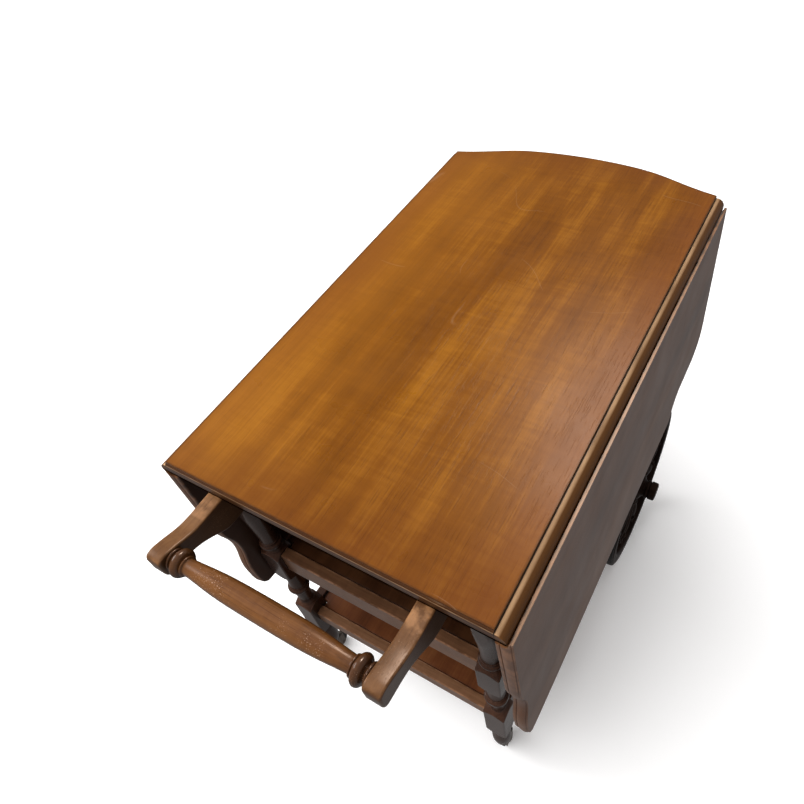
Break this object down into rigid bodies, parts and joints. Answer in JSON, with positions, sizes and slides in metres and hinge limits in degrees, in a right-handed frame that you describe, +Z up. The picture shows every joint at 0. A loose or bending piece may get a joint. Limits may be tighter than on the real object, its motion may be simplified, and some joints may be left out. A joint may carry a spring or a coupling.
{
  "type": "drop leaf table",
  "caption": "Wheeled tea table with a bow-ended top, hinged drop leaves, open shelves, a turned push handle, large spoked wheels and swivel casters.",
  "frame": {"origin": "middle of the footprint, on the floor", "axes": "+Z up, +Y from the push handle towards the large wheels, +X towards the right-hand leaf"},
  "size_m": [0.574, 0.9574, 0.736],
  "materials": {
    "top_wood": "worn satin varnish over a honey-amber hardwood face, redder at the edges",
    "leaf_wood": "aged brown stain under satin varnish",
    "frame_wood": "dark walnut stain under semi-gloss varnish",
    "shelf_wood": "brown stained board, satin",
    "wheel_wood": "dark stained turned wood, satin",
    "tyre": "solid black rubber band",
    "caster_rubber": "hard dark rubber",
    "steel": "dull bright steel"
  },
  "bodies": {
    "frame": {"top_board": "top_wood", "leg_near_right": "frame_wood", "leg_near_left": "frame_wood", "leg_far_right": "frame_wood", "leg_far_left": "frame_wood", "apron_front": "frame_wood", "apron_back": "frame_wood", "apron_right": "frame_wood", "apron_left": "frame_wood", "mid_rail_front": "frame_wood", "mid_rail_back": "frame_wood", "mid_rail_right": "frame_wood", "mid_rail_left": "frame_wood", "low_rail_front": "frame_wood", "low_rail_back": "frame_wood", "low_rail_right": "frame_wood", "low_rail_left": "frame_wood", "handle_arm_right": "frame_wood", "handle_arm_left": "frame_wood", "handle_bar": "frame_wood", "mid_shelf": "shelf_wood", "low_shelf": "shelf_wood", "hinge_top_flaps": "steel", "hinge_pins": "steel", "hinge_top_screws": "steel", "stay_brackets": "steel", "stay_pins": "steel", "stay_screws": "steel", "axle": "steel", "axle_spacers": "steel", "axle_collars": "steel", "caster_plates": "steel"},
    "leaf_right": {"leaf_right": "leaf_wood", "hinge_leaf_flaps_right": "steel", "hinge_leaf_screws_right": "steel"},
    "stay_right": {"stay_arm_right": "steel"},
    "wheel_right": {"wheel_tyre_right": "tyre", "wheel_rim_right": "wheel_wood", "wheel_hub_right": "wheel_wood", "hub_sleeve_right": "steel", "wheel_spokes_right": "wheel_wood", "hub_cap_right": "wheel_wood"},
    "caster_swivel_right": {"caster_fork_right": "steel", "caster_axle_right": "steel"},
    "caster_wheel_right": {"caster_wheel_right": "caster_rubber"},
    "leaf_left": {"leaf_left": "leaf_wood", "hinge_leaf_flaps_left": "steel", "hinge_leaf_screws_left": "steel"},
    "stay_left": {"stay_arm_left": "steel"},
    "wheel_left": {"wheel_tyre_left": "tyre", "wheel_rim_left": "wheel_wood", "wheel_hub_left": "wheel_wood", "hub_sleeve_left": "steel", "wheel_spokes_left": "wheel_wood", "hub_cap_left": "wheel_wood"},
    "caster_swivel_left": {"caster_fork_left": "steel", "caster_axle_left": "steel"},
    "caster_wheel_left": {"caster_wheel_left": "caster_rubber"}
  },
  "joints": [
    {"name": "leaf_hinge_right", "type": "hinge", "parent": "frame", "child": "leaf_right", "pos_m": [0.2365, 0, 0.7165], "axis": [0, -1, 0], "range_deg": [0, 87.4]},
    {"name": "stay_pivot_right", "type": "hinge", "parent": "frame", "child": "stay_right", "pos_m": [0.217, 0.02975, 0.672], "axis": [0, -1, 0], "range_deg": [0, 103.75]},
    {"name": "wheel_spin_right", "type": "hinge", "parent": "frame", "child": "wheel_right", "pos_m": [0.249, 0.22625, 0.176], "axis": [1, 0, 0], "continuous": true},
    {"name": "caster_swivel_right", "type": "hinge", "parent": "frame", "child": "caster_swivel_right", "pos_m": [0.197, -0.32175, 0.05], "axis": [0, 0, 1], "continuous": true},
    {"name": "caster_roll_right", "type": "hinge", "parent": "caster_swivel_right", "child": "caster_wheel_right", "pos_m": [0.197, -0.30975, 0.019], "axis": [1, 0, 0], "continuous": true},
    {"name": "leaf_hinge_left", "type": "hinge", "parent": "frame", "child": "leaf_left", "pos_m": [-0.2365, 0, 0.7165], "axis": [0, 1, 0], "range_deg": [0, 92.6]},
    {"name": "stay_pivot_left", "type": "hinge", "parent": "frame", "child": "stay_left", "pos_m": [-0.217, 0.02975, 0.672], "axis": [0, 1, 0], "range_deg": [0, 103.75]},
    {"name": "wheel_spin_left", "type": "hinge", "parent": "frame", "child": "wheel_left", "pos_m": [-0.249, 0.22625, 0.176], "axis": [1, 0, 0], "continuous": true},
    {"name": "caster_swivel_left", "type": "hinge", "parent": "frame", "child": "caster_swivel_left", "pos_m": [-0.197, -0.32175, 0.05], "axis": [0, 0, 1], "continuous": true},
    {"name": "caster_roll_left", "type": "hinge", "parent": "caster_swivel_left", "child": "caster_wheel_left", "pos_m": [-0.197, -0.30975, 0.019], "axis": [1, 0, 0], "continuous": true}
  ],
  "couplings": [
    {"joint": "stay_pivot_right", "follows": "leaf_hinge_right", "ratio": 1.1868},
    {"joint": "stay_pivot_left", "follows": "leaf_hinge_left", "ratio": 1.1202}
  ]
}
